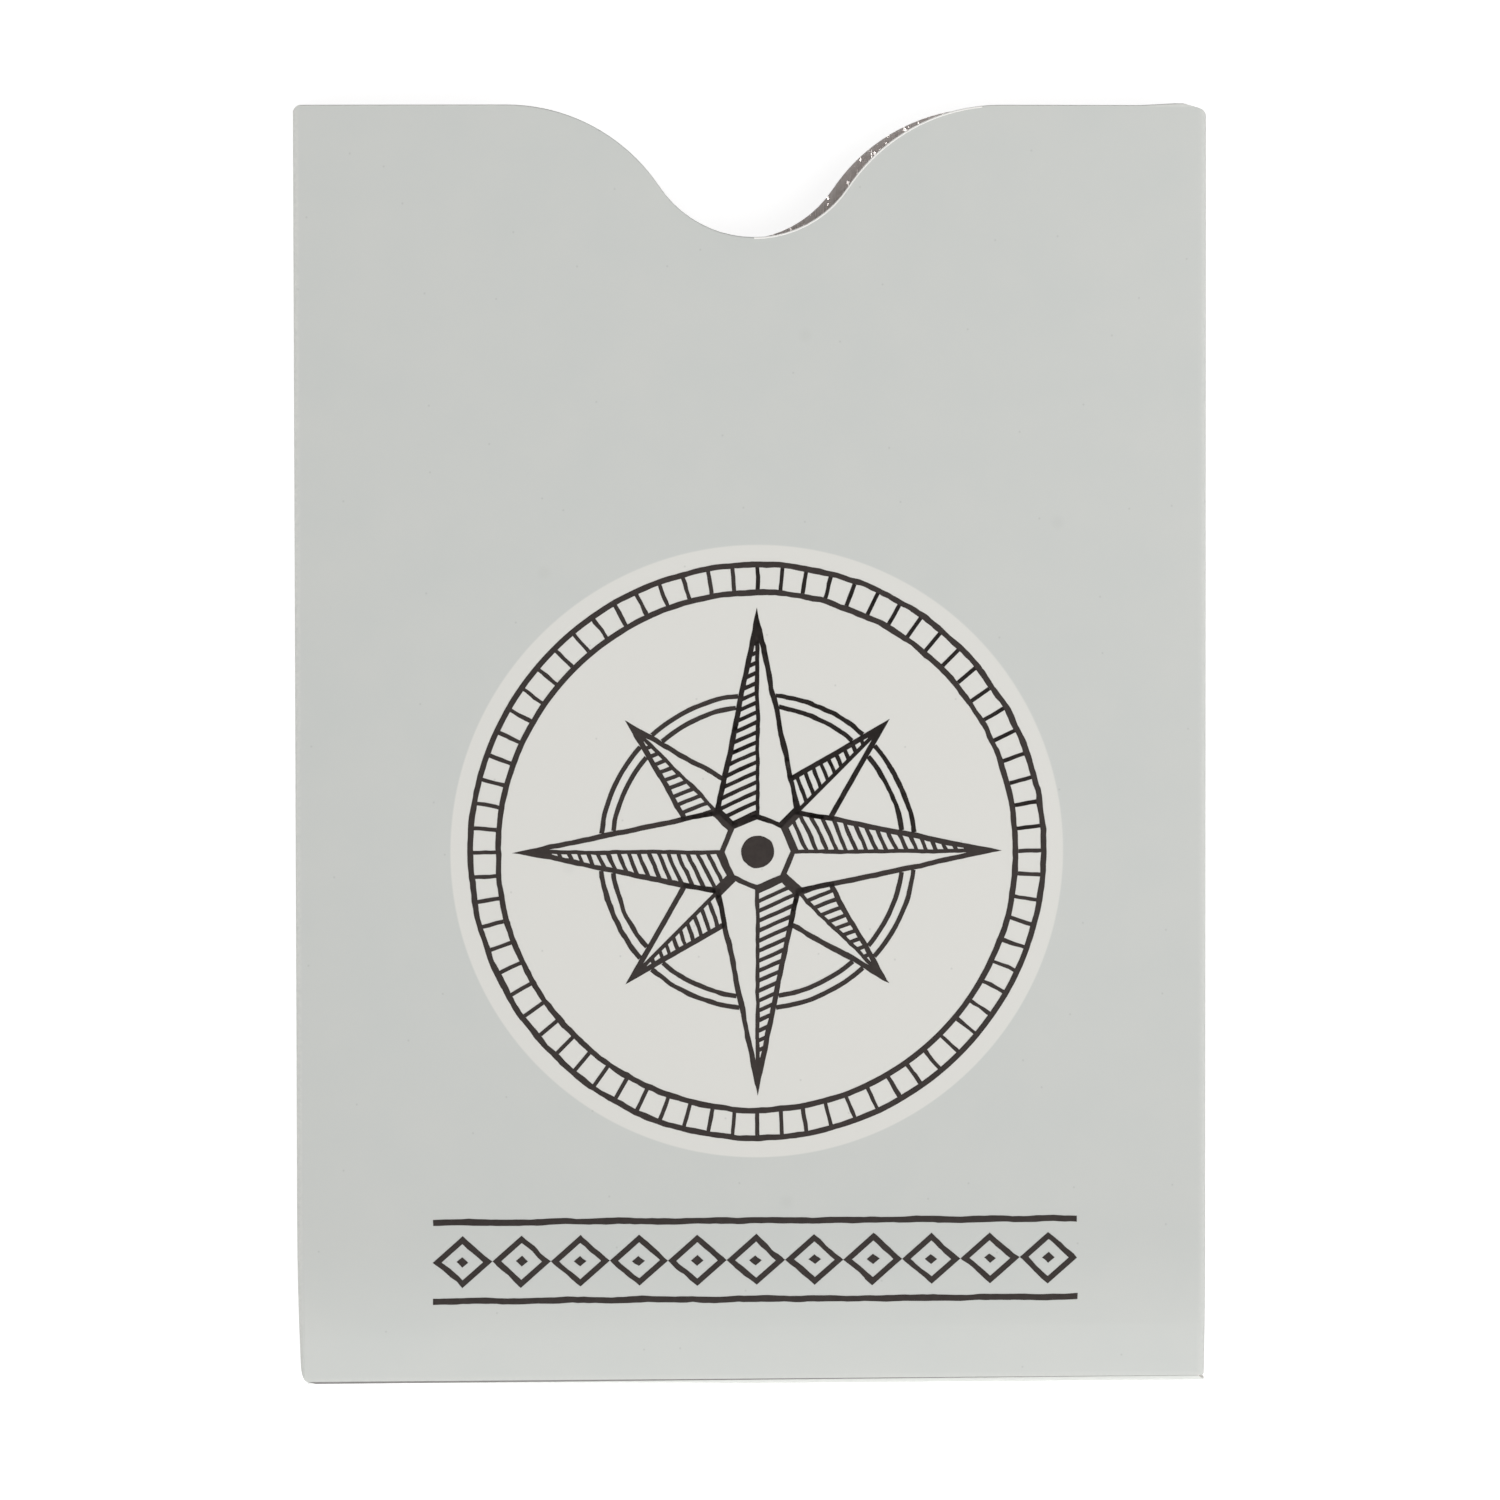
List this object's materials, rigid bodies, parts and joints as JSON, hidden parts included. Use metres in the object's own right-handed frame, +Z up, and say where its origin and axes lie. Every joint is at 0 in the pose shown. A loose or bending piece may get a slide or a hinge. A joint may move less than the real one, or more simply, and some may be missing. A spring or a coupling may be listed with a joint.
{
  "type": "rfid travel document sleeve",
  "caption": "Flat folded card sleeve lined with aluminium foil, open at the top with a curved thumb notch, that shields a passport booklet from radio reading.",
  "frame": {"origin": "middle of the back panel's outer face, on the surface that the sleeve lies on", "axes": "+Z up out of the printed front, +Y towards the open mouth, +X to the right as the front is seen"},
  "size_m": [0.095, 0.133, 0.0072],
  "materials": {
    "printed_card": "matt coated card with a pale grey print",
    "lining_foil": "finely crinkled foil with a satin shine",
    "dry_glue": "dried dispersion glue"
  },
  "bodies": {
    "root": {"front_panel": "printed_card", "back_panel": "printed_card", "left_spine": "printed_card", "right_spine": "printed_card", "bottom_spine": "printed_card", "side_flap": "printed_card", "bottom_flap": "printed_card", "front_foil": "lining_foil", "back_foil": "lining_foil", "left_spine_foil": "lining_foil", "right_spine_foil": "lining_foil", "bottom_spine_foil": "lining_foil", "side_flap_foil": "lining_foil", "bottom_flap_foil": "lining_foil", "side_glue_strip": "dry_glue", "bottom_glue_strip": "dry_glue"}
  },
  "joints": []
}
